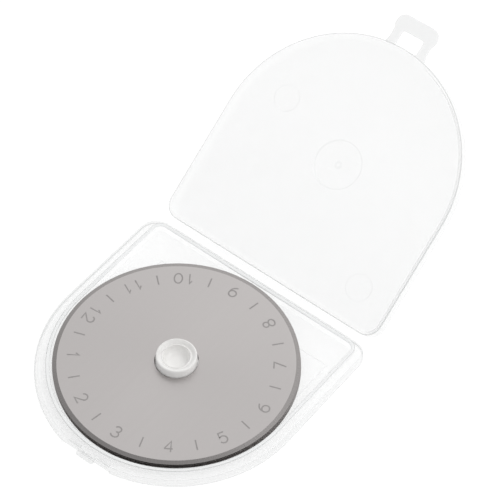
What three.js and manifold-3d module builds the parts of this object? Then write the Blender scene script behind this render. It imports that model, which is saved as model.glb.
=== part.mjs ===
// A pack of five 45 mm circular cutter blades in its hinged, D-shaped storage case.
// Units: millimetres, +Z up. The origin is on the underside of the tray, on the blades' common axis.
// +X runs along the hinge, +Y from the front latch to the hinge, +Z up the blade post.
// The case is moulded in one piece: tray, thin hinge web and lid. It is split here at the crease
// of the web, half of which belongs to the tray and half to the lid.

import * as THREE from 'three';
import { mergeVertices } from 'three/addons/utils/BufferGeometryUtils.js';
import Module from 'manifold-3d';

// ---- Driving dimensions -------------------------------------------------------------------

// Blades
const BLADE_COUNT = 5;
const BLADE_RADIUS = 22.5;
const BLADE_HOLE_RADIUS = 4.0;
const BLADE_THICKNESS = 0.3;
const BEVEL_WIDTH = 0.8;
const BLADE_GAP = 0.02;
// A loose stack never lies quite true on its post: how far each blade sits off the axis, bottom first.
const BLADE_OFFSETS = [[0.11, 0.04], [0.09, -0.03], [0.06, 0.05], [0.03, -0.04], [0, 0]];

// Tray
const PLATE_RADIUS = 25.8;
const PLATE_BACK = 24.65;
const PLATE_CORNER = 3.7;
const PLATE_THICKNESS = 1.0;
const PLATE_EDGE_ROUND = 0.3;
const FLOOR_DROP = 0.3;
const WALL_INNER_RADIUS = 23.0;
const WALL_THICKNESS = 0.75;
const WALL_BACK = 23.75;
const WALL_CORNER = 2.2;
const WALL_HEIGHT = 0.9;
const SEAT_WIDTH = 1.2;
const SEAT_DEPTH = 0.2;

// Blade post, moulded with the tray. Its rim slopes down to the cup like a funnel.
const POST_FOOT_RADIUS = 3.86;
const POST_TOP_RADIUS = 3.78;
const POST_HEIGHT = 3.0;
const POST_EDGE_ROUND = 0.25;
const POST_RIM_WIDTH = 0.35;
const FUNNEL_RADIUS = 2.5;
const FUNNEL_DEPTH = 0.65;
const CUP_FLOOR_RADIUS = 1.9;
const CUP_DEPTH = 2.1;

// Front latch of the tray
const NOTCH_HALF_WIDTH = 5.4;
const NOTCH_FRONT = -25.0;
const THUMB_TAB_HALF_WIDTH = 1.9;
const THUMB_TAB_FRONT = -25.95;
const THUMB_TAB_BOTTOM = 0.35;
const THUMB_TAB_TOP = 0.75;
const SLOT_WIDTH = 0.4;
const SLOT_DEPTH = 0.45;
const SIDE_SLOT_LENGTH = 2.6;
const SIDE_SLOT_X = 3.3;
const SIDE_SLOT_Y = -24.2;
const CENTRE_SLOT_LENGTH = 3.3;
const CENTRE_SLOT_Y = -24.7;

// Hinge
const HINGE_AXIS_Y = 25.45;
const WEB_HALF_LENGTH = 20.1;
const WEB_THICKNESS = 0.3;
const WEB_DROP = 0.05;
const CREASE_HALF_GAP = 0.15;
const OPEN_TILT = THREE.MathUtils.degToRad(35);

// Lid
const LID_RADIUS = 24.75;
const LID_BACK = 24.6;
const LID_CORNER = 3.0;
const LID_WALL = 0.7;
const LID_DEPTH = 3.4;
const LID_FACE = 0.55;
const LID_EDGE_ROUND = 0.5;
const POST_POCKET_RADIUS = 4.8;
const POST_POCKET_DEPTH = 0.25;

// Hang tab, on the front of the lid: a wide bar on two narrower legs
const HANG_BAR_WIDTH = 9.1;
const HANG_BAR_LENGTH = 4.0;
const HANG_BAR_CORNER = 1.8;
const HANG_LEG_SPAN = 8.3;
const HANG_TAB_REACH = 6.1;
const HANG_TAB_THICKNESS = 1.1;
const HANG_TAB_FACE_OFFSET = 0.5;
const HANG_HOLE_WIDTH = 4.9;
const HANG_HOLE_LENGTH = 3.1;
const HANG_HOLE_CORNER = 0.6;

// Facets
const ROUND_END_FACETS = 56;
const CORNER_FACETS = 6;
const SMALL_CORNER_FACETS = 4;
const BLADE_FACETS = 72;
const POST_FACETS = 32;
const EDGE_ROUND_STEPS = 2;

// Cutting solids run past the faces that they cut by this much.
const OVERRUN = 1.0;

// ---- Derived sizes ------------------------------------------------------------------------

const FLOOR_TOP = PLATE_THICKNESS - FLOOR_DROP;
const SEAT_TOP = PLATE_THICKNESS - SEAT_DEPTH;
const WALL_TOP = PLATE_THICKNESS + WALL_HEIGHT;
const POST_TOP = PLATE_THICKNESS + POST_HEIGHT;
const WALL_OUTER_RADIUS = WALL_INNER_RADIUS + WALL_THICKNESS;
const SEAT_OUTER_RADIUS = WALL_OUTER_RADIUS + SEAT_WIDTH;
const LID_HOLLOW_DEPTH = LID_DEPTH - LID_FACE;

// ---- Materials ----------------------------------------------------------------------------

const casePlastic = new THREE.MeshStandardMaterial({
  name: 'case_polypropylene',
  color: new THREE.Color(0.93, 0.94, 0.94),
  roughness: 0.35,
  metalness: 0,
  transparent: true,
  opacity: 0.45,
});
const bladeSteel = new THREE.MeshStandardMaterial({
  name: 'blade_steel',
  color: new THREE.Color(0.72, 0.7, 0.69),
  roughness: 0.35,
  metalness: 1,
});

// ---- Booleans -----------------------------------------------------------------------------

const wasm = await Module();
wasm.setup();

function solidFrom(geometry) {
  geometry.deleteAttribute('normal');
  geometry.deleteAttribute('uv');
  const merged = mergeVertices(geometry);
  return new wasm.Manifold(new wasm.Mesh({
    numProp: 3,
    vertProperties: merged.getAttribute('position').array,
    triVerts: new Uint32Array(merged.getIndex().array),
  }));
}

function geometryFrom(solid) {
  const { vertProperties, triVerts } = solid.getMesh();
  const geometry = new THREE.BufferGeometry();
  geometry.setAttribute('position', new THREE.BufferAttribute(vertProperties, 3));
  geometry.setIndex(new THREE.BufferAttribute(triVerts, 1));
  geometry.computeVertexNormals();
  return geometry;
}

// ---- Outlines and simple solids -----------------------------------------------------------

function arcPoints(centreX, centreY, radius, from, to, facets) {
  return Array.from({ length: facets + 1 }, (_, i) => {
    const angle = from + (to - from) * i / facets;
    return new THREE.Vector2(centreX + radius * Math.cos(angle), centreY + radius * Math.sin(angle));
  });
}

// The D outline: a half circle round the origin towards -Y, straight sides and a flat back at
// y = back with rounded corners.
function dOutline(radius, back, corner) {
  const cornerX = radius - corner;
  const cornerY = back - corner;
  return [
    ...arcPoints(0, 0, radius, Math.PI, 2 * Math.PI, ROUND_END_FACETS),
    ...arcPoints(cornerX, cornerY, corner, 0, Math.PI / 2, CORNER_FACETS),
    ...arcPoints(-cornerX, cornerY, corner, Math.PI / 2, Math.PI, CORNER_FACETS),
  ];
}

// The same outline turned over about the hinge axis, in the lid's own frame, whose y is the
// distance from that axis.
function lidOutline(radius, back, corner) {
  return dOutline(radius, back, corner).map((p) => new THREE.Vector2(p.x, HINGE_AXIS_Y - p.y));
}

function roundedRectangle(width, length, corner) {
  const x = width / 2 - corner;
  const y = length / 2 - corner;
  const quarter = Math.PI / 2;
  return [
    ...arcPoints(x, y, corner, 0, quarter, SMALL_CORNER_FACETS),
    ...arcPoints(-x, y, corner, quarter, 2 * quarter, SMALL_CORNER_FACETS),
    ...arcPoints(-x, -y, corner, 2 * quarter, 3 * quarter, SMALL_CORNER_FACETS),
    ...arcPoints(x, -y, corner, 3 * quarter, 4 * quarter, SMALL_CORNER_FACETS),
  ];
}

// A straight prism of an outline between two heights.
function prism(outline, bottom, top) {
  const geometry = new THREE.ExtrudeGeometry(new THREE.Shape(outline), {
    depth: top - bottom,
    bevelEnabled: false,
  });
  geometry.translate(0, 0, bottom);
  return solidFrom(geometry);
}

// A prism whose edges are rounded inwards at both ends.
function roundedPrism(outline, bottom, top, round) {
  const geometry = new THREE.ExtrudeGeometry(new THREE.Shape(outline), {
    depth: top - bottom - 2 * round,
    bevelThickness: round,
    bevelSize: round,
    bevelOffset: -round,
    bevelSegments: EDGE_ROUND_STEPS,
  });
  geometry.translate(0, 0, bottom + round);
  return solidFrom(geometry);
}

function block(lowX, highX, lowY, highY, lowZ, highZ) {
  const geometry = new THREE.BoxGeometry(highX - lowX, highY - lowY, highZ - lowZ);
  geometry.translate((lowX + highX) / 2, (lowY + highY) / 2, (lowZ + highZ) / 2);
  return solidFrom(geometry);
}

function turned(profile, facets) {
  const geometry = new THREE.LatheGeometry(profile.map(([r, z]) => new THREE.Vector2(r, z)), facets);
  geometry.rotateX(Math.PI / 2);
  return solidFrom(geometry);
}

// ---- Tray ---------------------------------------------------------------------------------

function bladePost() {
  const roundStart = POST_TOP - POST_EDGE_ROUND;
  const cupFloor = POST_TOP - CUP_DEPTH;
  return turned([
    [0, FLOOR_TOP - FLOOR_DROP],
    [POST_FOOT_RADIUS, FLOOR_TOP - FLOOR_DROP],
    [POST_TOP_RADIUS, roundStart],
    [POST_TOP_RADIUS - POST_EDGE_ROUND / 3, POST_TOP - POST_EDGE_ROUND / 3],
    [POST_TOP_RADIUS - POST_EDGE_ROUND, POST_TOP],
    [POST_TOP_RADIUS - POST_RIM_WIDTH, POST_TOP],
    [FUNNEL_RADIUS, POST_TOP - FUNNEL_DEPTH],
    [CUP_FLOOR_RADIUS, cupFloor],
    [0, cupFloor],
  ], POST_FACETS);
}

function trayPlate() {
  const outline = dOutline(PLATE_RADIUS, PLATE_BACK, PLATE_CORNER);
  const rounded = roundedPrism(outline, 0, PLATE_THICKNESS, PLATE_EDGE_ROUND);
  return rounded.add(prism(outline, PLATE_EDGE_ROUND, PLATE_THICKNESS));
}

// The upright wall, with the lid's seat round it and the blade well inside it.
function withWall(plate) {
  const wallOutline = dOutline(WALL_OUTER_RADIUS, WALL_BACK, WALL_CORNER);
  const wellOutline = dOutline(
    WALL_INNER_RADIUS, WALL_BACK - WALL_THICKNESS, WALL_CORNER - WALL_THICKNESS);
  const seatOutline = dOutline(
    SEAT_OUTER_RADIUS, LID_BACK + (SEAT_OUTER_RADIUS - LID_RADIUS) / 2, LID_CORNER);
  const seat = prism(seatOutline, SEAT_TOP, PLATE_THICKNESS + OVERRUN);
  const wall = prism(wallOutline, PLATE_THICKNESS / 2, WALL_TOP);
  const well = prism(wellOutline, FLOOR_TOP, WALL_TOP + OVERRUN);
  return plate.subtract(seat).add(wall).subtract(well);
}

function frontSlot(centreX, centreY, length) {
  return block(centreX - length / 2, centreX + length / 2,
    centreY - SLOT_WIDTH / 2, centreY + SLOT_WIDTH / 2,
    SEAT_TOP - SLOT_DEPTH, PLATE_THICKNESS + OVERRUN);
}

// The front edge is cut back for a finger, with a thumb tab left in the middle and three slots
// in the lid's seat that take the catch.
function withLatch(tray) {
  const notch = block(-NOTCH_HALF_WIDTH, NOTCH_HALF_WIDTH,
    -PLATE_RADIUS - OVERRUN, NOTCH_FRONT, -OVERRUN, PLATE_THICKNESS + OVERRUN);
  const thumbTab = block(-THUMB_TAB_HALF_WIDTH, THUMB_TAB_HALF_WIDTH,
    THUMB_TAB_FRONT, NOTCH_FRONT + SLOT_WIDTH / 4, THUMB_TAB_BOTTOM, THUMB_TAB_TOP);
  return tray
    .subtract(notch)
    .add(thumbTab)
    .subtract(frontSlot(-SIDE_SLOT_X, SIDE_SLOT_Y, SIDE_SLOT_LENGTH))
    .subtract(frontSlot(SIDE_SLOT_X, SIDE_SLOT_Y, SIDE_SLOT_LENGTH))
    .subtract(frontSlot(0, CENTRE_SLOT_Y, CENTRE_SLOT_LENGTH));
}

function trayWeb() {
  const top = PLATE_THICKNESS - WEB_DROP;
  return block(-WEB_HALF_LENGTH, WEB_HALF_LENGTH,
    PLATE_BACK - WEB_THICKNESS, HINGE_AXIS_Y - CREASE_HALF_GAP, top - WEB_THICKNESS, top);
}

function makeTray() {
  const tray = withLatch(withWall(trayPlate())).add(bladePost()).add(trayWeb());
  const mesh = new THREE.Mesh(geometryFrom(tray), casePlastic);
  mesh.name = 'base_tray';
  return mesh;
}

// ---- Lid ----------------------------------------------------------------------------------
// Made lying open, hollow side up: x and y in the plane of its rim, y the distance from the
// hinge axis, z = 0 at the rim and negative towards the outer face.

function lidShell() {
  const outer = lidOutline(LID_RADIUS, LID_BACK, LID_CORNER);
  const inner = lidOutline(LID_RADIUS - LID_WALL, LID_BACK - LID_WALL, LID_CORNER - LID_WALL);
  return roundedPrism(outer, -LID_DEPTH, 0, LID_EDGE_ROUND)
    .add(prism(outer, -LID_HOLLOW_DEPTH, 0))
    .subtract(prism(inner, -LID_HOLLOW_DEPTH, OVERRUN));
}

// A shallow round pocket in the lid's inner face clears the top of the blade post.
function postPocket() {
  const bottom = -LID_HOLLOW_DEPTH - POST_POCKET_DEPTH;
  const circle = arcPoints(0, HINGE_AXIS_Y, POST_POCKET_RADIUS, 0, 2 * Math.PI, POST_FACETS);
  return prism(circle.slice(0, POST_FACETS), bottom, OVERRUN);
}

function hangTab() {
  const lidFront = HINGE_AXIS_Y + LID_RADIUS;
  const barCentre = lidFront + HANG_TAB_REACH - HANG_BAR_LENGTH / 2;
  const moveTo = (outline, centreY) => outline.map((p) => new THREE.Vector2(p.x, p.y + centreY));
  const bottom = -LID_DEPTH + HANG_TAB_FACE_OFFSET;
  const top = bottom + HANG_TAB_THICKNESS;
  const bar = moveTo(
    roundedRectangle(HANG_BAR_WIDTH, HANG_BAR_LENGTH, HANG_BAR_CORNER), barCentre);
  const legs = block(
    -HANG_LEG_SPAN / 2, HANG_LEG_SPAN / 2, lidFront - 2 * LID_WALL, barCentre, bottom, top);
  const hole = moveTo(
    roundedRectangle(HANG_HOLE_WIDTH, HANG_HOLE_LENGTH, HANG_HOLE_CORNER),
    lidFront + HANG_HOLE_LENGTH / 2);
  return prism(bar, bottom, top)
    .add(legs)
    .subtract(prism(hole, bottom - OVERRUN, top + OVERRUN));
}

// The tab is joined to the shell, and the shell's hollow is cut clear of it again.
function lidHollow() {
  const inner = lidOutline(LID_RADIUS - LID_WALL, LID_BACK - LID_WALL, LID_CORNER - LID_WALL);
  return prism(inner, -LID_HOLLOW_DEPTH, OVERRUN);
}

function lidWeb() {
  const top = -WEB_DROP;
  const lidEdge = HINGE_AXIS_Y - LID_BACK;
  return block(-WEB_HALF_LENGTH, WEB_HALF_LENGTH,
    CREASE_HALF_GAP, lidEdge + WEB_THICKNESS, top - WEB_THICKNESS, top);
}

function makeLid() {
  const lid = lidShell().add(hangTab()).subtract(lidHollow()).subtract(postPocket()).add(lidWeb());
  const mesh = new THREE.Mesh(geometryFrom(lid), casePlastic);
  mesh.name = 'lid';
  const hinge = new THREE.Group();
  hinge.position.set(0, HINGE_AXIS_Y, PLATE_THICKNESS);
  hinge.rotation.x = OPEN_TILT;
  hinge.add(mesh);
  return hinge;
}

// ---- Blades -------------------------------------------------------------------------------

// A flat ring with a cutting edge ground from both faces.
function bladeGeometry() {
  const half = BLADE_THICKNESS / 2;
  const bevelStart = BLADE_RADIUS - BEVEL_WIDTH;
  return geometryFrom(turned([
    [BLADE_HOLE_RADIUS, -half],
    [bevelStart, -half],
    [BLADE_RADIUS, 0],
    [bevelStart, half],
    [BLADE_HOLE_RADIUS, half],
    [BLADE_HOLE_RADIUS, -half],
  ], BLADE_FACETS));
}

function makeBlades() {
  const geometry = bladeGeometry();
  const pitch = BLADE_THICKNESS + BLADE_GAP;
  return Array.from({ length: BLADE_COUNT }, (_, i) => {
    const mesh = new THREE.Mesh(geometry, bladeSteel);
    const [offsetX, offsetY] = BLADE_OFFSETS[i];
    mesh.name = `blade_${i + 1}`;
    mesh.position.set(offsetX, offsetY, FLOOR_TOP + BLADE_GAP + BLADE_THICKNESS / 2 + i * pitch);
    return mesh;
  });
}

// ---- Assembly -----------------------------------------------------------------------------

const bladeCase = new THREE.Group();
bladeCase.add(makeTray(), makeLid(), ...makeBlades());

export default bladeCase;
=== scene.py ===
"""Looks of the rotary cutter blade pack: five circular blades on the post of an open, hinged,
translucent case. Lengths in the constants are millimetres, in the CAD's own frame: the origin is on
the tray's underside on the blades' axis, +Y runs from the latch to the hinge and +Z up the post."""

import math
import random

import bmesh
import bpy
from mathutils import Matrix, Vector


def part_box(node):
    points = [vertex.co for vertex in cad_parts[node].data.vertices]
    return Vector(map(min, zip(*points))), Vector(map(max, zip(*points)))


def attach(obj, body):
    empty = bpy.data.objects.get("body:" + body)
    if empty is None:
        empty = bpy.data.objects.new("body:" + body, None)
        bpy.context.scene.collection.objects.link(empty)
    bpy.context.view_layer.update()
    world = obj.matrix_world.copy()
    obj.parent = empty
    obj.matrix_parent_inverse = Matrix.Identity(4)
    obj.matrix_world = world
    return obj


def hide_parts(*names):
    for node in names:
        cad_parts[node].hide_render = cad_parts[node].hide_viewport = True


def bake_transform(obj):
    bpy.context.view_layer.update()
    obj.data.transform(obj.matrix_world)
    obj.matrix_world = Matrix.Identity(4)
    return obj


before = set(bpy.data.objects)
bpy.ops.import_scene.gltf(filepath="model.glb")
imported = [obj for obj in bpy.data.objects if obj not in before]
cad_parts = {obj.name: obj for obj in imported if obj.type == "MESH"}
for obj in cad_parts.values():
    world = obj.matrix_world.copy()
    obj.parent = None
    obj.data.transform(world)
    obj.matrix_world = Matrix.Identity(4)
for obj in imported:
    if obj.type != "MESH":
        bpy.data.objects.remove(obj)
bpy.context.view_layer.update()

MM = 0.001

# ---- Dimensions, in millimetres ---------------------------------------------------------------

# Tray
PLATE_RADIUS = 25.8
PLATE_BACK = 24.65
PLATE_CORNER = 3.7
PLATE_TOP = 1.0
PLATE_UNDER_ROUND = 0.3
PLATE_EDGE_ROUND = 0.12
SEAT_RADIUS = 24.95
SEAT_BACK = 24.56
SEAT_CORNER = 3.1
SEAT_TOP = 0.8
SEAT_EDGE_ROUND = 0.06
WALL_FOOT_FILLET = 0.1
WALL_OUTER_RADIUS = 23.75
WALL_BACK = 23.75
WALL_CORNER = 2.2
WALL_THICKNESS = 0.75
WALL_TOP = 1.9
WALL_ROUND = 0.14
FLOOR_TOP = 0.7
FLOOR_FILLET = 0.22
# Towards the back the rim round the seat runs out, to let the hinge web pass.
RIM_FADE_START = 24.0
RIM_FADE_END = 24.5

# Blade post: (radius, height), from the floor up and down into the cup
POST_PROFILE = [
    (3.86, 0.70), (3.80, 3.60), (3.78, 3.78), (3.74, 3.88), (3.67, 3.96), (3.58, 4.00), (3.46, 4.00),
    (3.34, 3.95), (3.02, 3.70), (2.86, 3.56), (2.78, 3.54), (2.70, 3.58), (2.60, 3.60), (2.52, 3.55),
    (2.46, 3.42), (2.36, 2.86), (2.24, 2.44), (2.04, 2.16), (1.74, 1.98), (1.36, 1.90), (0.90, 1.87),
    (0.40, 1.86),
]

# Latch
NOTCH_HALF_WIDTH = 5.4
NOTCH_FRONT = -25.0
THUMB_TAB_HALF_WIDTH = 1.9
THUMB_TAB_FRONT = -25.95
THUMB_TAB_BOTTOM = 0.35
THUMB_TAB_TOP = 0.75
THUMB_TAB_ROUND = 0.12
THUMB_TAB_CORNER = 0.4
THUMB_TAB_ROOT = 0.5
CATCH_SLOTS = [(-3.3, -24.2, 2.6), (0.0, -24.7, 3.3), (3.3, -24.2, 2.6)]
CATCH_SLOT_WIDTH = 0.4
CATCH_SLOT_BOTTOM = 0.35

# Shallow panel in the tray's floor
PANEL_LEFT = -17.7
PANEL_RIGHT = 21.3
PANEL_BACK = 17.2
PANEL_FRONT = -3.0
PANEL_LINE_WIDTH = 0.22
PANEL_LINE_DEPTH = 0.09

# Hinge
HINGE_Y = 25.45
HINGE_Z = 1.0
OPEN_TILT = math.radians(35)
WEB_HALF_LENGTH = 20.1
# Half of the web's section: (distance from the crease, height from the hinge axis), top then underside
WEB_TOP = [(1.08, -0.17), (0.86, -0.07), (0.62, -0.05), (0.30, -0.05), (0.12, -0.09)]
WEB_UNDER = [(0.12, -0.28), (0.30, -0.33), (0.62, -0.34), (0.92, -0.34)]
WEB_CREASE_TOP = -0.11
WEB_CREASE_UNDER = -0.26

# Lid, with depths measured from its rim
LID_RADIUS = 24.75
LID_BACK = 24.6
LID_CORNER = 3.0
LID_WALL = 0.7
LID_DEPTH = 3.4
LID_HOLLOW = 2.85
LID_RIM_ROUND = 0.18
LID_FACE_ROUND = 0.5
LID_FILLET = 0.35
# Post pocket and gate mark in the lid's inner face: (radius, depth)
POCKET_PROFILE = [(4.86, 2.85), (4.78, 2.90), (4.70, 3.05), (4.58, 3.10), (0.80, 3.10), (0.66, 3.12),
                  (0.50, 3.18), (0.26, 3.20)]
POCKET_WALL_ROWS = 3
GATE_ROW = 4
# Ejector pin marks: (x, distance from the hinge axis)
EJECTOR_MARKS = [(-16.0, 31.4), (16.1, 7.9)]
EJECTOR_RADIUS = 2.7
EJECTOR_LINE_WIDTH = 0.22
EJECTOR_LINE_DEPTH = 0.06

# Hang tab: a wide bar on two narrower legs that flare out to the lid's wall
BAR_HALF_WIDTH = 4.55
BAR_LENGTH = 4.0
BAR_CORNER = 1.8
LEG_HALF_SPAN = 4.15
LEG_FLARE = 0.45
LEG_FLARE_LENGTH = 0.9
TAB_REACH = 6.1
TAB_OUTER_DEPTH = 2.9
TAB_INNER_DEPTH = 1.8
TAB_ROUND = 0.22
TAB_HOLE_HALF_WIDTH = 2.45
TAB_HOLE_LENGTH = 3.1
TAB_HOLE_CORNER = 0.6

# Blades
BLADE_COUNT = 5
BLADE_RADIUS = 22.5
BLADE_HOLE_RADIUS = 4.0
BLADE_HALF_THICKNESS = 0.15
BEVEL_WIDTH = 0.8
HOLE_CHAMFER = 0.04
BLADE_SEGMENTS = 240

# Dial on the blades
DIAL_RADIUS = 18.8
DIAL_START = math.radians(185)
DIAL_STEP = math.radians(30)
DIAL_NUMBERS = 12
DIGIT_HEIGHT = 2.25
DIGIT_WIDTH = 1.5
DIGIT_GAP = 0.62
STROKE_WIDTH = 0.27
STROKE_PROUD = 0.006
STROKE_SUNK = 0.006
STROKE_STEP = 0.002
TICK_START = math.radians(20)
TICK_INNER_RADIUS = 17.7
TICK_OUTER_RADIUS = 19.85
# Where two parts of a stroke meet: the sharpest turn that is followed, and how many half widths the
# corner may reach
MITRE_COSINE = 0.35
MITRE_REACH = 2.0
SAME_POINT = 1e-6

# Camera: where it aims, how far away it stands and from which side
AIM = Vector((-6.563, 29.943, 0.0))
CAMERA_AZIMUTH = math.radians(37.052)
CAMERA_ELEVATION = math.radians(51.24)
CAMERA_ROLL = math.radians(1.411)
CAMERA_DISTANCE = 443.18
CAMERA_LENS = 168.66
SENSOR_WIDTH = 36.0
CAMERA_CLIP_START = 10.0

# Light: where the window stands as seen from the case, how wide it is, one soft box, and the floor
WINDOW_HEADING = math.radians(117)
WINDOW_ELEVATION = math.radians(35)
WINDOW_REACH = math.radians(42)
WINDOW_STRENGTH = 1.35
ROOM_STRENGTH = 0.6
SOFT_BOX_PLACE = Vector((450, 250, 650))
SOFT_BOX_SIZE = 700
SOFT_BOX_POWER = 2.4
FLOOR_REACH = 4000.0
FLOOR_CLEARANCE = 0.02
FLOOR_GLOW = 0.75
FLOOR_SHADE = (0.34, 0.34, 0.34)
FLOOR_TINT = (0.36, 0.36, 0.36)
FLOOR_CLOUD_SCALE = 3.0

# How far cutting tools run past the faces that they cut
CUT_OVERRUN = 2.0
GROOVE_OVERRUN = 0.3
HOLE_OVERRUN = 0.1

# Facets of the case's D outline
ARC_STEPS = 160
SIDE_STEPS = 14
CORNER_STEPS = 12
BACK_STEPS = 24
WEB_STEPS = 60
EJECTOR_STEPS = 48
# Facets of the rounded edges, a quarter turn each
UNDER_ROUND_STEPS = 4
EDGE_STEPS = 3
SEAT_EDGE_STEPS = 2
FILLET_STEPS = 4
LID_FACE_STEPS = 5
# Facets of the hang tab's outline and of the rounded rectangles' corners
BAR_CORNER_STEPS = 10
BAR_TUCK_STEPS = 6
TAB_ROOT_STEPS = 12
RECTANGLE_CORNER_STEPS = 8
# Corner radius that an outline keeps, in millimetres, however far it is moved inwards
SMALLEST_CORNER = 0.2

# Edges sharper than these stay sharp in the shading
SMOOTH_ANGLE = math.radians(32)
BLADE_SMOOTH_ANGLE = math.radians(5)

random.seed(45)


# ---- Mesh tools -------------------------------------------------------------------------------

def arc(cx, cy, radius, start, end, steps):
    return [
        (cx + radius * math.cos(start + (end - start) * i / steps),
         cy + radius * math.sin(start + (end - start) * i / steps))
        for i in range(steps + 1)
    ]


def between(a, b, steps):
    """The points strictly between a and b."""
    return [
        (a[0] + (b[0] - a[0]) * i / steps, a[1] + (b[1] - a[1]) * i / steps)
        for i in range(1, steps)
    ]


def d_outline(radius, back, corner):
    """A half circle towards -Y, straight sides and a flat back with rounded corners."""
    round_end = arc(0, 0, radius, math.pi, 2 * math.pi, ARC_STEPS)
    right = arc(radius - corner, back - corner, corner, 0, math.pi / 2, CORNER_STEPS)
    left = arc(corner - radius, back - corner, corner, math.pi / 2, math.pi, CORNER_STEPS)
    return (
        round_end
        + between(round_end[-1], right[0], SIDE_STEPS) + right
        + between(right[-1], left[0], BACK_STEPS) + left
        + between(left[-1], round_end[0], SIDE_STEPS)
    )


# The directions that the outline's points lie in, so that round parts join it point to point.
OUTLINE_ANGLES = [math.atan2(y, x) for x, y in d_outline(WALL_OUTER_RADIUS, WALL_BACK, WALL_CORNER)]


def circle_outline(radius):
    return [(radius * math.cos(a), radius * math.sin(a)) for a in OUTLINE_ANGLES]


def inset_outline(radius, back, corner, inset):
    return d_outline(radius - inset, back - inset, max(corner - inset, SMALLEST_CORNER))


def raised(outline, z):
    return [(x, y, z) for x, y in outline]


def quarter(steps):
    """(sine, 1 - cosine) of the angles inside a quarter turn, for rounded edges."""
    angles = [math.pi / 2 * i / steps for i in range(steps + 1)]
    return [(math.sin(a), 1 - math.cos(a)) for a in angles]


def loft(rows, bands):
    """A closed shell through rows of points, with both ends closed. bands are material numbers:
    the first end's, one for each pair of rows, and the last end's."""
    bm = bmesh.new()
    grid = [[bm.verts.new(p) for p in row] for row in rows]
    count = len(rows[0])
    for j in range(len(grid) - 1):
        for i in range(count):
            k = (i + 1) % count
            face = bm.faces.new((grid[j][i], grid[j][k], grid[j + 1][k], grid[j + 1][i]))
            face.material_index = bands[j + 1]
    for row, material in ((grid[0], bands[0]), (grid[-1], bands[-1])):
        middle = bm.verts.new(sum((v.co for v in row), Vector()) / count)
        for i in range(count):
            face = bm.faces.new((row[i], row[(i + 1) % count], middle))
            face.material_index = material
    return bm


def closed_ring(rows, bands):
    """A ring whose section is the closed polygon of its rows. bands has a material number for each
    strip between two rows, the last of them from the last row back to the first."""
    bm = bmesh.new()
    grid = [[bm.verts.new(p) for p in row] for row in rows]
    count = len(rows[0])
    for j, row in enumerate(grid):
        following = grid[(j + 1) % len(grid)]
        for i in range(count):
            k = (i + 1) % count
            face = bm.faces.new((row[i], row[k], following[k], following[i]))
            face.material_index = bands[j]
    return bm


def smooth(mesh, angle):
    for polygon in mesh.polygons:
        polygon.use_smooth = True
    mesh.set_sharp_from_angle(angle=angle)


def finished(name, bm, matrix=None, smooth_angle=SMOOTH_ANGLE):
    """Turns a bmesh in millimetres into an object in metres."""
    if matrix is not None:
        bm.transform(matrix)
    bm.transform(Matrix.Scale(MM, 4))
    bmesh.ops.recalc_face_normals(bm, faces=bm.faces)
    mesh = bpy.data.meshes.new(name)
    bm.to_mesh(mesh)
    bm.free()
    obj = bpy.data.objects.new(name, mesh)
    bpy.context.scene.collection.objects.link(obj)
    smooth(mesh, smooth_angle)
    return obj


def prism(outline, bottom, top, material):
    return loft([raised(outline, bottom), raised(outline, top)], [material] * 3)


def combine(obj, operation, tools):
    """Cuts or joins the tools, in metres like obj, and removes them."""
    for tool in tools:
        modifier = obj.modifiers.new("combine", "BOOLEAN")
        modifier.operation = operation
        modifier.solver = "EXACT"
        modifier.object = tool
    bpy.context.view_layer.update()
    evaluated = obj.evaluated_get(bpy.context.evaluated_depsgraph_get())
    mesh = bpy.data.meshes.new_from_object(evaluated)
    obj.modifiers.clear()
    old = obj.data
    obj.data = mesh
    bpy.data.meshes.remove(old)
    for tool in tools:
        bpy.data.objects.remove(tool)
    smooth(mesh, SMOOTH_ANGLE)
    return obj


# ---- Materials --------------------------------------------------------------------------------

# The range of a noise's value that is spread over a colour or roughness range
NOISE_LOW = 0.3
NOISE_HIGH = 0.7


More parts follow.
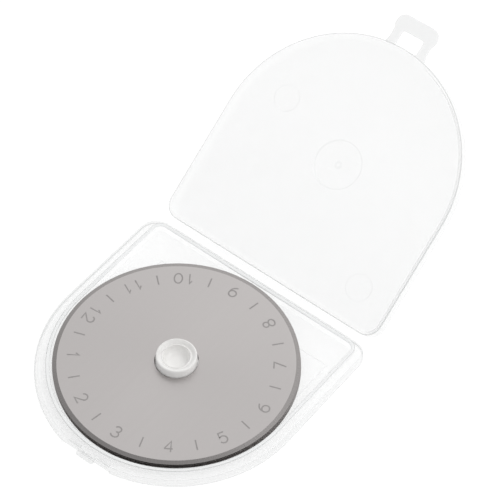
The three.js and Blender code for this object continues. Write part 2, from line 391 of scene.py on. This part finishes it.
class Nodes:
    """A material's node tree, with its shader and object coordinates ready."""

    def __init__(self, name):
        self.material = bpy.data.materials.new(name)
        self.material.use_nodes = True
        self.tree = self.material.node_tree
        self.shader = self.tree.nodes["Principled BSDF"]
        self.place = self.add("ShaderNodeTexCoord").outputs["Object"]

    def add(self, kind, **values):
        node = self.tree.nodes.new(kind)
        for key, value in values.items():
            setattr(node, key, value)
        return node

    def link(self, source, target):
        self.tree.links.new(source, target)

    def set(self, **values):
        for key, value in values.items():
            self.shader.inputs[key.replace("_", " ")].default_value = value

    def noise(self, scale, detail=3.0, roughness=0.5, stretch=(1, 1, 1), turn=0.0, source=None):
        node = self.add("ShaderNodeTexNoise")
        node.inputs["Scale"].default_value = scale
        node.inputs["Detail"].default_value = detail
        node.inputs["Roughness"].default_value = roughness
        mapping = self.add("ShaderNodeMapping")
        mapping.inputs["Scale"].default_value = stretch
        mapping.inputs["Rotation"].default_value = (0, 0, turn)
        self.link(source or self.place, mapping.inputs["Vector"])
        self.link(mapping.outputs["Vector"], node.inputs["Vector"])
        return node.outputs["Fac"]

    def spread(self, value, low, high):
        node = self.add("ShaderNodeMapRange")
        node.inputs["From Min"].default_value = NOISE_LOW
        node.inputs["From Max"].default_value = NOISE_HIGH
        node.inputs["To Min"].default_value = low
        node.inputs["To Max"].default_value = high
        self.link(value, node.inputs["Value"])
        return node.outputs["Result"]

    def colours(self, value, low, high):
        node = self.add("ShaderNodeValToRGB")
        node.color_ramp.elements[0].position = NOISE_LOW
        node.color_ramp.elements[0].color = (*low, 1)
        node.color_ramp.elements[1].position = NOISE_HIGH
        node.color_ramp.elements[1].color = (*high, 1)
        self.link(value, node.inputs["Fac"])
        return node.outputs["Color"]

    def mixed(self, a, b, share):
        node = self.add("ShaderNodeMix", data_type="FLOAT")
        node.inputs[0].default_value = share
        self.link(a, node.inputs[2])
        self.link(b, node.inputs[3])
        return node.outputs[0]

    def bump(self, value, depth, strength):
        """depth is in metres."""
        node = self.add("ShaderNodeBump")
        node.inputs["Strength"].default_value = strength
        node.inputs["Distance"].default_value = depth
        self.link(value, node.inputs["Height"])
        self.link(node.outputs["Normal"], self.shader.inputs["Normal"])


def polypropylene(name, clear, dense, shade, tint, polish=(0.26, 0.4)):
    """Natural polypropylene: a cloudy, waxy plastic. clear and dense are the least and most that a
    surface hides, shade and tint its darkest and lightest colour, polish its range of roughness."""
    n = Nodes(name)
    cloud = n.noise(130.0, detail=2.0)
    flow = n.noise(420.0, detail=4.0, stretch=(1, 0.6, 1), turn=0.35)
    texture = n.noise(2600.0, detail=3.0)
    haze = n.mixed(cloud, flow, 0.2)
    n.link(n.colours(haze, shade, tint), n.shader.inputs["Base Color"])
    n.link(n.spread(haze, clear, dense), n.shader.inputs["Alpha"])
    n.link(n.spread(flow, *polish), n.shader.inputs["Roughness"])
    n.bump(n.mixed(texture, flow, 0.3), depth=0.00002, strength=0.35)
    n.set(IOR=1.49)
    n.material.surface_render_method = "BLENDED"
    return n.material


# Copies of one plastic, each made lighter or darker for the light and shade that fall on it: painted
# light and painted shade. The sheet and the post keep the plastic's own look. The tray's copy is
# clearer and lighter than the sheet, to offset the shade under the tray: painted light.
LIT_TRAY_SHEET = polypropylene("polypropylene_tray_lit", 0.11, 0.13, (0.76, 0.77, 0.77), (0.8, 0.81, 0.81))
SHEET = polypropylene("polypropylene_sheet", 0.145, 0.16, (0.74, 0.75, 0.75), (0.78, 0.79, 0.79))
# The wall copy is darker and denser than the sheet: painted shade on the case's sides, grooves, cut
# faces and tabs.
SHADED_WALL = polypropylene("polypropylene_shaded_wall", 0.19, 0.23, (0.68, 0.69, 0.69), (0.74, 0.75, 0.75))
# The outline copy is dark and dense: painted shade, drawn as the dark lines along rounded edges.
PAINTED_OUTLINE = polypropylene("polypropylene_painted_outline", 0.42, 0.49, (0.46, 0.47, 0.47), (0.54, 0.55, 0.55))
POST = polypropylene(
    "polypropylene_post", 0.8, 0.9, (0.88, 0.87, 0.855), (0.93, 0.92, 0.905), polish=(0.1, 0.18))
# The clear copy is the lightest and clearest, for the hinge web and the tray's inner wall, so that
# they stay bright in their shade: painted light.
LIT_CLEAR = polypropylene("polypropylene_lit_clear", 0.04, 0.06, (0.76, 0.77, 0.77), (0.82, 0.83, 0.83))
# The rim copy is an almost opaque white: a painted highlight along the top of the tray's wall.
HIGHLIGHT_RIM = polypropylene("polypropylene_rim_highlight", 0.8, 0.88, (0.9, 0.91, 0.91), (0.95, 0.96, 0.96))
# The mark copy is darker and denser than the sheet: painted shade in the ejector marks' grooves.
SHADED_MARK = polypropylene("polypropylene_mark_shade", 0.165, 0.185, (0.7, 0.71, 0.71), (0.75, 0.76, 0.76))
CASE_MATERIALS = [LIT_TRAY_SHEET, SHEET, SHADED_WALL, PAINTED_OUTLINE, POST, LIT_CLEAR, HIGHLIGHT_RIM, SHADED_MARK]
LIT_TRAY_BAND, SHEET_BAND, SHADED_WALL_BAND, PAINTED_OUTLINE_BAND, POST_BAND, LIT_CLEAR_BAND, HIGHLIGHT_RIM_BAND, SHADED_MARK_BAND = range(
    len(CASE_MATERIALS))


def blade_face_steel():
    """Rolled and polished strip: fine straight lines, with faint smears of the packing oil."""
    n = Nodes("steel_face")
    grain = n.noise(900.0, detail=5.0, roughness=0.6, stretch=(1, 0.03, 1), turn=0.9)
    smear = n.noise(95.0, detail=3.0, stretch=(1, 0.45, 1), turn=-0.6)
    tone = n.mixed(smear, grain, 0.3)
    n.link(n.colours(tone, (0.47, 0.448, 0.442), (0.515, 0.493, 0.487)), n.shader.inputs["Base Color"])
    n.link(n.spread(tone, 0.34, 0.46), n.shader.inputs["Roughness"])
    n.bump(grain, depth=0.000003, strength=0.2)
    n.set(Metallic=1.0, Anisotropic=0.25)
    return n.material


def ground_steel():
    """The ground bevel: fine lines that run across it, out from the axis, on a base colour darker than
    the face's steel: painted shade.
    """
    n = Nodes("steel_ground_shaded")
    parts = n.add("ShaderNodeSeparateXYZ")
    n.link(n.place, parts.inputs["Vector"])
    angle = n.add("ShaderNodeMath", operation="ARCTAN2")
    n.link(parts.outputs["Y"], angle.inputs[0])
    n.link(parts.outputs["X"], angle.inputs[1])
    around = n.add("ShaderNodeCombineXYZ")
    n.link(angle.outputs["Value"], around.inputs["X"])
    lines = n.noise(260.0, detail=4.0, source=around.outputs["Vector"])
    # A darker base than the face's steel: painted shade.
    n.link(n.colours(lines, (0.25, 0.238, 0.234), (0.33, 0.315, 0.31)), n.shader.inputs["Base Color"])
    n.link(n.spread(lines, 0.22, 0.38), n.shader.inputs["Roughness"])
    n.bump(lines, depth=0.000004, strength=0.4)
    n.set(Metallic=1.0)
    return n.material


def etched_steel():
    """The dial's marks, burnt dark by the marking tool."""
    n = Nodes("steel_etched")
    burn = n.noise(1500.0, detail=3.0)
    n.link(n.colours(burn, (0.31, 0.295, 0.29), (0.39, 0.375, 0.37)), n.shader.inputs["Base Color"])
    n.link(n.spread(burn, 0.5, 0.7), n.shader.inputs["Roughness"])
    n.bump(burn, depth=0.000006, strength=0.5)
    n.set(Metallic=0.7)
    return n.material


FACE_STEEL = blade_face_steel()
SHADED_GROUND_STEEL = ground_steel()
ETCHED_STEEL = etched_steel()


def dress(obj, *materials):
    for material in materials:
        obj.data.materials.append(material)
    return obj


# ---- Tray -------------------------------------------------------------------------------------

def with_faded_rim(row):
    """Lowers a row of the rim to the seat's level where the hinge web crosses it."""
    faded = []
    for x, y, z in row:
        share = min(max((y - RIM_FADE_START) / (RIM_FADE_END - RIM_FADE_START), 0), 1)
        share = share * share * (3 - 2 * share)
        top = PLATE_TOP + (SEAT_TOP - PLATE_TOP) * share
        faded.append((x, y, min(z, top)))
    return faded


def tray_shell():
    # The underside, the seat and the floor take the tray's lighter copy: painted light against the
    # shade under the tray.
    rows, bands = [], [LIT_TRAY_BAND]

    def add(row, band):
        rows.append(row)
        bands.append(band)

    def plate(inset, z, band):
        outline = inset_outline(PLATE_RADIUS, PLATE_BACK, PLATE_CORNER, inset)
        add(with_faded_rim(raised(outline, z)), band)

    # The plate's rounded edges and side take the darker, denser wall copy: painted shade.
    for s, c in quarter(UNDER_ROUND_STEPS):
        plate(PLATE_UNDER_ROUND * (1 - s), PLATE_UNDER_ROUND * c, SHADED_WALL_BAND)
    # The upper half of the rounded lower edge is painted as a dark line: painted shade.
    bands[-3:-1] = [PAINTED_OUTLINE_BAND] * 2
    for s, c in quarter(EDGE_STEPS):
        plate(PLATE_EDGE_ROUND * c, PLATE_TOP - PLATE_EDGE_ROUND * (1 - s), SHADED_WALL_BAND)
    seat = (SEAT_RADIUS, SEAT_BACK, SEAT_CORNER)
    for s, c in quarter(SEAT_EDGE_STEPS):
        outline = inset_outline(*seat, -SEAT_EDGE_ROUND * (1 - s))
        add(with_faded_rim(raised(outline, PLATE_TOP - SEAT_EDGE_ROUND * c)), LIT_TRAY_BAND)
    add(raised(inset_outline(*seat, 0), SEAT_TOP), LIT_TRAY_BAND)
    wall = (WALL_OUTER_RADIUS, WALL_BACK, WALL_CORNER)
    add(raised(inset_outline(*wall, -WALL_FOOT_FILLET), SEAT_TOP), SHEET_BAND)
    add(raised(inset_outline(*wall, 0), SEAT_TOP + WALL_FOOT_FILLET), SHEET_BAND)
    # The wall's outer top round is painted as a dark line (painted shade), its inner top round as a
    # bright white band (painted highlight).
    for s, c in quarter(EDGE_STEPS):
        add(raised(inset_outline(*wall, WALL_ROUND * c), WALL_TOP - WALL_ROUND * (1 - s)), PAINTED_OUTLINE_BAND)
    bands[-1] = HIGHLIGHT_RIM_BAND
    for s, c in quarter(EDGE_STEPS):
        inset = WALL_THICKNESS - WALL_ROUND * (1 - s)
        add(raised(inset_outline(*wall, inset), WALL_TOP - WALL_ROUND * c), HIGHLIGHT_RIM_BAND)
    # The wall's inner side and the fillet take the clear, light copy, which stays bright in their
    # shade: painted light.
    bands[-1] = LIT_CLEAR_BAND
    for s, c in quarter(FILLET_STEPS):
        inset = WALL_THICKNESS + FLOOR_FILLET * c
        add(raised(inset_outline(*wall, inset), FLOOR_TOP + FLOOR_FILLET * (1 - s)), LIT_CLEAR_BAND)
    bands[-1] = LIT_TRAY_BAND
    for radius, z in POST_PROFILE:
        add(raised(circle_outline(radius), z), POST_BAND)
    return finished("tray", loft(rows, bands))


def box_tool(name, low, high):
    outline = [(low[0], low[1]), (high[0], low[1]), (high[0], high[1]), (low[0], high[1])]
    # The cut faces take the darker, denser wall copy: painted shade.
    return finished(name, prism(outline, low[2], high[2], SHADED_WALL_BAND))


def panel_line_tool():
    """A shallow rectangular frame that draws the panel's outline in the floor."""
    def ring(left, right, front, back):
        return [(left, front), (right, front), (right, back), (left, back)]

    outer = ring(PANEL_LEFT, PANEL_RIGHT, PANEL_FRONT, PANEL_BACK)
    w = PANEL_LINE_WIDTH
    inner = ring(PANEL_LEFT + w, PANEL_RIGHT - w, PANEL_FRONT + w, PANEL_BACK - w)
    low, high = FLOOR_TOP - PANEL_LINE_DEPTH, FLOOR_TOP + GROOVE_OVERRUN
    rows = [raised(outer, low), raised(outer, high), raised(inner, high), raised(inner, low)]
    # The groove's faces take the darker, denser wall copy: painted shade.
    return finished("panel_line", closed_ring(rows, [SHADED_WALL_BAND] * len(rows)))


def make_tray():
    tray = dress(tray_shell(), *CASE_MATERIALS)
    notch = box_tool(
        "notch",
        (-NOTCH_HALF_WIDTH, -PLATE_RADIUS - CUT_OVERRUN, -CUT_OVERRUN),
        (NOTCH_HALF_WIDTH, NOTCH_FRONT, CUT_OVERRUN))
    slots = [
        box_tool(
            f"slot_{i}",
            (x - length / 2, y - CATCH_SLOT_WIDTH / 2, CATCH_SLOT_BOTTOM),
            (x + length / 2, y + CATCH_SLOT_WIDTH / 2, CUT_OVERRUN))
        for i, (x, y, length) in enumerate(CATCH_SLOTS)
    ]
    combine(tray, "DIFFERENCE", [notch])
    tab_outline = rounded_rectangle(
        -THUMB_TAB_HALF_WIDTH, THUMB_TAB_HALF_WIDTH, THUMB_TAB_FRONT, NOTCH_FRONT + THUMB_TAB_ROOT,
        THUMB_TAB_CORNER)
    # The thumb tab takes the darker, denser wall copy: painted shade.
    thumb_tab = finished("thumb_tab", rounded_slab(
        tab_outline, THUMB_TAB_BOTTOM, THUMB_TAB_TOP, THUMB_TAB_ROUND, SHADED_WALL_BAND))
    combine(tray, "UNION", [thumb_tab])
    combine(tray, "DIFFERENCE", slots + [panel_line_tool()])
    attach(tray, "tray")
    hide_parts("base_tray")


# ---- Lid --------------------------------------------------------------------------------------

def rounded_rectangle(left, right, front, back, corner):
    quarter_turn = math.pi / 2
    centres = [
        (right - corner, back - corner), (left + corner, back - corner),
        (left + corner, front + corner), (right - corner, front + corner),
    ]
    points = []
    for i, (x, y) in enumerate(centres):
        points += arc(
            x, y, corner, i * quarter_turn, (i + 1) * quarter_turn, RECTANGLE_CORNER_STEPS)
    return points


def shrunk(outline, inset):
    """An outline moved inwards along its own normals."""
    count = len(outline)
    moved = []
    for i, (x, y) in enumerate(outline):
        before, after = Vector(outline[i - 1]), Vector(outline[(i + 1) % count])
        along = after - before
        normal = Vector((-along.y, along.x)).normalized()
        moved.append((x + normal.x * inset, y + normal.y * inset))
    return moved


def rounded_slab(outline, bottom, top, edge, material):
    turns = quarter(EDGE_STEPS)
    rows = [raised(shrunk(outline, edge * (1 - s)), bottom + edge * c) for s, c in turns]
    rows += [raised(shrunk(outline, edge * c), top - edge * (1 - s)) for s, c in turns]
    return loft(rows, [material] * (len(rows) + 1))


def to_lid(outline):
    """Turns an outline over about the hinge axis: its y becomes the distance from that axis."""
    return [(x, HINGE_Y - y) for x, y in outline]


LID_PLACE = Matrix.Translation((0, HINGE_Y, HINGE_Z)) @ Matrix.Rotation(OPEN_TILT, 4, "X")


def lid_shell():
    rows, bands = [], [SHEET_BAND]

    def add(outline, depth, band):
        rows.append(raised(to_lid(outline), -depth))
        bands.append(band)

    lid = (LID_RADIUS, LID_BACK, LID_CORNER)
    # The pocket's wall and the gate mark take the darker, denser wall copy: painted shade.
    for i, (radius, depth) in reversed(list(enumerate(POCKET_PROFILE))):
        on_wall = 0 < i <= POCKET_WALL_ROWS
        on_gate = i > GATE_ROW
        add(circle_outline(radius), depth, SHADED_WALL_BAND if on_wall or on_gate else SHEET_BAND)
    for s, c in quarter(FILLET_STEPS):
        inset = LID_WALL + LID_FILLET * (1 - s)
        add(inset_outline(*lid, inset), LID_HOLLOW - LID_FILLET * c, SHEET_BAND)
    for s, c in quarter(EDGE_STEPS):
        add(inset_outline(*lid, LID_WALL - LID_RIM_ROUND * c), LID_RIM_ROUND * (1 - s), SHEET_BAND)
    # The rim's outer round is painted as a dark outline: painted shade.
    for s, c in quarter(EDGE_STEPS):
        add(inset_outline(*lid, LID_RIM_ROUND * (1 - s)), LID_RIM_ROUND * c, PAINTED_OUTLINE_BAND)
    bands[-1] = SHEET_BAND
    for s, c in quarter(LID_FACE_STEPS):
        add(inset_outline(*lid, LID_FACE_ROUND * c), LID_DEPTH - LID_FACE_ROUND * (1 - s), SHEET_BAND)
    bands[-1] = SHEET_BAND
    return finished("lid_shell", loft(rows, bands), LID_PLACE)


def hang_tab_tool():
    """The tab's root follows the middle of the lid's wall, clear of the hollow."""
    front = HINGE_Y + LID_RADIUS
    far = front + TAB_REACH
    root = LID_RADIUS - LID_WALL / 2
    spread = math.asin((LEG_HALF_SPAN + LEG_FLARE) / root)
    x = BAR_HALF_WIDTH - BAR_CORNER
    tuck = math.acos((LEG_HALF_SPAN - x) / BAR_CORNER)
    quarter_turn = math.pi / 2
    half_turn = math.pi
    under = far - BAR_LENGTH + BAR_CORNER
    outline = (
        arc(x, far - BAR_CORNER, BAR_CORNER, 0, quarter_turn, BAR_CORNER_STEPS)
        + arc(-x, far - BAR_CORNER, BAR_CORNER, quarter_turn, half_turn, BAR_CORNER_STEPS)
        + arc(-x, under, BAR_CORNER, half_turn, half_turn + tuck, BAR_TUCK_STEPS)
        + [(-LEG_HALF_SPAN, front + LEG_FLARE_LENGTH)]
        + arc(0, HINGE_Y, root, quarter_turn + spread, quarter_turn - spread, TAB_ROOT_STEPS)
        + [(LEG_HALF_SPAN, front + LEG_FLARE_LENGTH)]
        + arc(x, under, BAR_CORNER, -tuck, 0, BAR_TUCK_STEPS)
    )
    # The tab takes the darker, denser wall copy: painted shade.
    slab = rounded_slab(outline, -TAB_OUTER_DEPTH, -TAB_INNER_DEPTH, TAB_ROUND, SHADED_WALL_BAND)
    return finished("hang_tab", slab, LID_PLACE)


def hang_hole_tool():
    front = HINGE_Y + LID_RADIUS
    hole = rounded_rectangle(
        -TAB_HOLE_HALF_WIDTH, TAB_HOLE_HALF_WIDTH, front, front + TAB_HOLE_LENGTH, TAB_HOLE_CORNER)
    wide = shrunk(hole, -TAB_ROUND - HOLE_OVERRUN)
    rows = [
        raised(wide, -TAB_OUTER_DEPTH - HOLE_OVERRUN),
        raised(hole, -TAB_OUTER_DEPTH + TAB_ROUND),
        raised(hole, -TAB_INNER_DEPTH - TAB_ROUND),
        raised(wide, -TAB_INNER_DEPTH + HOLE_OVERRUN),
    ]
    # The hole's faces take the darker, denser wall copy: painted shade.
    return finished("hang_hole", loft(rows, [SHADED_WALL_BAND] * (len(rows) + 1)), LID_PLACE)


def ejector_tool(x, y):
    circle = arc(x, y, EJECTOR_RADIUS, 0, 2 * math.pi, EJECTOR_STEPS)[:-1]
    inner = shrunk(circle, EJECTOR_LINE_WIDTH)
    low, high = -LID_HOLLOW - EJECTOR_LINE_DEPTH, -LID_HOLLOW + GROOVE_OVERRUN
    rows = [raised(circle, low), raised(circle, high), raised(inner, high), raised(inner, low)]
    # The mark's groove is painted darker and denser than the sheet: painted shade.
    return finished("ejector_line", closed_ring(rows, [SHADED_MARK_BAND] * len(rows)), LID_PLACE)


def make_lid():
    lid = dress(lid_shell(), *CASE_MATERIALS)
    tab = combine(hang_tab_tool(), "DIFFERENCE", [hang_hole_tool()])
    combine(lid, "UNION", [tab])
    combine(lid, "DIFFERENCE", [ejector_tool(x, y) for x, y in EJECTOR_MARKS])
    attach(lid, "lid")
    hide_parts("lid")


# ---- Hinge web --------------------------------------------------------------------------------

def web_point(y, z, turn):
    """A point of the web's section, given from the hinge axis and turned about it."""
    return (
        HINGE_Y + y * math.cos(turn) - z * math.sin(turn),
        HINGE_Z + y * math.sin(turn) + z * math.cos(turn),
    )


def make_web():
    tray_top = [web_point(-d, h, 0) for d, h in WEB_TOP]
    tray_under = [web_point(-d, h, 0) for d, h in WEB_UNDER]
    lid_top = [web_point(d, h, OPEN_TILT) for d, h in WEB_TOP]
    lid_under = [web_point(d, h, OPEN_TILT) for d, h in WEB_UNDER]
    crease_top = web_point(0, WEB_CREASE_TOP, OPEN_TILT / 2)
    crease_under = web_point(0, WEB_CREASE_UNDER, OPEN_TILT / 2)
    section = (
        tray_top + [crease_top] + lid_top[::-1] + lid_under[::-1] + [crease_under] + tray_under
    )
    rows = []
    for i in range(WEB_STEPS + 1):
        x = WEB_HALF_LENGTH * (2 * i / WEB_STEPS - 1)
        rows.append([(x, y, z) for y, z in section])
    web = finished("hinge_web", loft(rows, [0] * (len(rows) + 1)))
    # The web takes the clear, light copy, kept bright in the shade of the hinge: painted light.
    dress(web, LIT_CLEAR)
    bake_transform(web)


# ---- Blades -----------------------------------------------------------------------------------

FACE_BAND, SHADED_GROUND_BAND = 0, 1


def blade_ring():
    """A disc turned from its section of (radius, height): flat faces, a keen edge and the hole."""
    half = BLADE_HALF_THICKNESS
    hole = BLADE_HOLE_RADIUS
    bevel = BLADE_RADIUS - BEVEL_WIDTH
    profile = [
        (hole + HOLE_CHAMFER, half), (bevel, half), (BLADE_RADIUS, 0), (bevel, -half),
        (hole + HOLE_CHAMFER, -half), (hole, HOLE_CHAMFER - half), (hole, half - HOLE_CHAMFER),
    ]
    # The bevels and the hole's chamfers take the darker steel: painted shade.
    bands = [FACE_BAND, SHADED_GROUND_BAND, SHADED_GROUND_BAND, FACE_BAND, SHADED_GROUND_BAND, FACE_BAND, SHADED_GROUND_BAND]
    turns = [2 * math.pi * i / BLADE_SEGMENTS for i in range(BLADE_SEGMENTS)]
    rows = [[(r * math.cos(a), r * math.sin(a), z) for a in turns] for r, z in profile]
    return closed_ring(rows, bands)


def curve_through(cx, cy, rx, ry, start, end, steps=14):
    """Part of an ellipse, with angles in degrees."""
    points = []
    for i in range(steps + 1):
        angle = math.radians(start + (end - start) * i / steps)
        points.append((cx + rx * math.cos(angle), cy + ry * math.sin(angle)))
    return points


# Single-stroke digits in a box one unit wide and one high. Each is a list of open strokes.
DIGITS = {
    "0": [curve_through(0.5, 0.5, 0.5, 0.5, 90, 450, 28)],
    "1": [[(0.5, 0.0), (0.5, 1.0), (0.2, 0.72)]],
    "2": [curve_through(0.5, 0.7, 0.46, 0.3, 170, -30) + [(0.04, 0.0), (1.0, 0.0)]],
    "3": [curve_through(0.47, 0.75, 0.42, 0.25, 160, -95),
          curve_through(0.47, 0.25, 0.5, 0.26, 95, -160)],
    "4": [[(0.78, 0.0), (0.78, 1.0), (0.0, 0.3)], [(0.0, 0.3), (1.0, 0.3)]],
    "5": [[(0.92, 1.0), (0.2, 1.0), (0.12, 0.55)] + curve_through(0.48, 0.33, 0.48, 0.33, 130, -155)],
    "6": [[(0.72, 1.0)] + curve_through(0.62, 0.42, 0.6, 0.5, 115, 180, 8),
          curve_through(0.5, 0.31, 0.48, 0.31, 180, 540, 24)],
    "7": [[(0.04, 1.0), (0.98, 1.0), (0.4, 0.0)]],
    "8": [curve_through(0.5, 0.76, 0.38, 0.24, -90, 270, 22),
          curve_through(0.5, 0.26, 0.5, 0.26, 90, 450, 22)],
    "9": [[(0.28, 0.0)] + curve_through(0.38, 0.58, 0.6, 0.5, 295, 360, 8),
          curve_through(0.5, 0.69, 0.48, 0.31, 0, 360, 24)],
}


def add_ribbon(bm, line, low, high):
    """A flat bar of STROKE_WIDTH along a line of points, from height low to high."""
    half = STROKE_WIDTH / 2
    points = [Vector(p) for p in line]
    closed = (points[0] - points[-1]).length < SAME_POINT
    if closed:
        points = points[:-1]
    count = len(points)
    rows = []
    for i, p in enumerate(points):
        before = points[i - 1] if closed or i else None
        after = points[(i + 1) % count] if closed or i < count - 1 else None
        a = (p - before).normalized() if before is not None else (after - p).normalized()
        b = (after - p).normalized() if after is not None else a
        middle = (a + b).normalized()
        side = Vector((-middle.y, middle.x))
        reach = min(half / max(middle.dot(b), MITRE_COSINE), MITRE_REACH * half)
        left, right = p + side * reach, p - side * reach
        corners = ((left, low), (right, low), (right, high), (left, high))
        rows.append([bm.verts.new((q.x, q.y, z)) for q, z in corners])
    for i in range(count if closed else count - 1):
        row, following = rows[i], rows[(i + 1) % count]
        for j in range(4):
            k = (j + 1) % 4
            bm.faces.new((row[j], row[k], following[k], following[j]))
    if not closed:
        bm.faces.new(rows[0][::-1])
        bm.faces.new(rows[-1])


def dial_marks(turn):
    """Numbers with their heads towards the axis, and a tick between each two."""
    bm = bmesh.new()
    low, high = BLADE_HALF_THICKNESS - STROKE_SUNK, BLADE_HALF_THICKNESS + STROKE_PROUD
    for number in range(1, DIAL_NUMBERS + 1):
        angle = DIAL_START + DIAL_STEP * number + turn
        out = Vector((math.cos(angle), math.sin(angle)))
        right = Vector((-out.y, out.x))
        text = str(number)
        width = len(text) * DIGIT_WIDTH + (len(text) - 1) * DIGIT_GAP
        for i, digit in enumerate(text):
            left = i * (DIGIT_WIDTH + DIGIT_GAP) - width / 2
            for layer, stroke in enumerate(DIGITS[digit]):
                add_ribbon(bm, [
                    out * (DIAL_RADIUS - (y - 0.5) * DIGIT_HEIGHT) + right * (left + x * DIGIT_WIDTH)
                    for x, y in stroke
                ], low, high + layer * STROKE_STEP)
        tick = TICK_START + DIAL_STEP * number + turn
        ray = Vector((math.cos(tick), math.sin(tick)))
        add_ribbon(bm, [ray * TICK_INNER_RADIUS, ray * TICK_OUTER_RADIUS], low, high)
    return bm


def make_blade(number):
    node = f"blade_{number}"
    low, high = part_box(node)
    place = Matrix.Translation((low + high) / 2 / MM)
    blade = finished(f"blade_disc_{number}", blade_ring(), place, BLADE_SMOOTH_ANGLE)
    dress(blade, FACE_STEEL, SHADED_GROUND_STEEL)
    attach(blade, node)
    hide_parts(node)
    turn = 0.0 if number == BLADE_COUNT else random.uniform(0, math.pi)
    marks = finished(f"blade_dial_{number}", dial_marks(turn), place)
    dress(marks, ETCHED_STEEL)
    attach(marks, node)


# ---- Studio -----------------------------------------------------------------------------------

def make_floor():
    """A pale floor that the case rests on with its tray's front edge and the lid's lowest corner."""
    front = Vector((0, -PLATE_RADIUS + PLATE_UNDER_ROUND, 0))
    deepest = min(
        (v.co / MM for v in bpy.data.objects["lid_shell"].data.vertices), key=lambda p: p.z)
    slope = deepest.z / (deepest.y - front.y)
    bm = bmesh.new()
    reach = FLOOR_REACH
    ends = [(-reach, -reach), (reach, -reach), (reach, reach), (-reach, reach)]
    bm.faces.new([
        bm.verts.new((x, y, (y - front.y) * slope - FLOOR_CLEARANCE)) for x, y in ends])
    floor = finished("floor", bm)
    n = Nodes("floor_paper")
    cloud = n.noise(FLOOR_CLOUD_SCALE)
    n.link(n.colours(cloud, FLOOR_SHADE, FLOOR_TINT), n.shader.inputs["Base Color"])
    n.set(Roughness=0.9, Emission_Color=(1, 1, 1, 1), Emission_Strength=FLOOR_GLOW)
    dress(floor, n.material)


def make_light():
    """A white studio that is brightest low behind the case, and one soft box."""
    world = bpy.data.worlds.new("studio")
    bpy.context.scene.world = world
    world.use_nodes = True
    nodes, links = world.node_tree.nodes, world.node_tree.links
    background = nodes["Background"]
    background.inputs["Color"].default_value = (1, 1, 1, 1)
    direction = nodes.new("ShaderNodeTexCoord")
    facing = nodes.new("ShaderNodeVectorMath")
    facing.operation = "DOT_PRODUCT"
    facing.inputs[1].default_value = (
        math.cos(WINDOW_ELEVATION) * math.cos(WINDOW_HEADING),
        math.cos(WINDOW_ELEVATION) * math.sin(WINDOW_HEADING),
        math.sin(WINDOW_ELEVATION),
    )
    glow = nodes.new("ShaderNodeMapRange")
    glow.interpolation_type = "SMOOTHSTEP"
    glow.inputs["From Min"].default_value = math.cos(WINDOW_REACH)
    glow.inputs["From Max"].default_value = 1.0
    glow.inputs["To Min"].default_value = ROOM_STRENGTH
    glow.inputs["To Max"].default_value = WINDOW_STRENGTH
    links.new(direction.outputs["Generated"], facing.inputs[0])
    links.new(facing.outputs["Value"], glow.inputs["Value"])
    links.new(glow.outputs["Result"], background.inputs["Strength"])
    lamp = bpy.data.lights.new("soft_box", "AREA")
    lamp.shape = "SQUARE"
    lamp.size = SOFT_BOX_SIZE * MM
    lamp.energy = SOFT_BOX_POWER
    obj = bpy.data.objects.new("soft_box", lamp)
    obj.location = SOFT_BOX_PLACE * MM
    obj.rotation_euler = (-SOFT_BOX_PLACE).to_track_quat("-Z", "Y").to_euler()
    bpy.context.scene.collection.objects.link(obj)


def make_camera():
    back = Vector((
        math.sin(CAMERA_AZIMUTH) * math.cos(CAMERA_ELEVATION),
        -math.cos(CAMERA_AZIMUTH) * math.cos(CAMERA_ELEVATION),
        math.sin(CAMERA_ELEVATION),
    ))
    level = (-back).cross(Vector((0, 0, 1))).normalized()
    above = level.cross(-back)
    right = level * math.cos(CAMERA_ROLL) + above * math.sin(CAMERA_ROLL)
    up = above * math.cos(CAMERA_ROLL) - level * math.sin(CAMERA_ROLL)
    data = bpy.data.cameras.new("camera")
    data.sensor_width = SENSOR_WIDTH
    data.lens = CAMERA_LENS
    data.clip_start = CAMERA_CLIP_START * MM
    camera = bpy.data.objects.new("camera", data)
    camera.matrix_world = (
        Matrix.Translation((AIM + back * CAMERA_DISTANCE) * MM)
        @ Matrix((right, up, back)).transposed().to_4x4()
    )
    bpy.context.scene.collection.objects.link(camera)
    bpy.context.scene.camera = camera
    bpy.context.scene.view_settings.view_transform = "Standard"


make_tray()
make_lid()
make_web()
for number in range(1, BLADE_COUNT + 1):
    make_blade(number)
make_floor()
make_light()
make_camera()
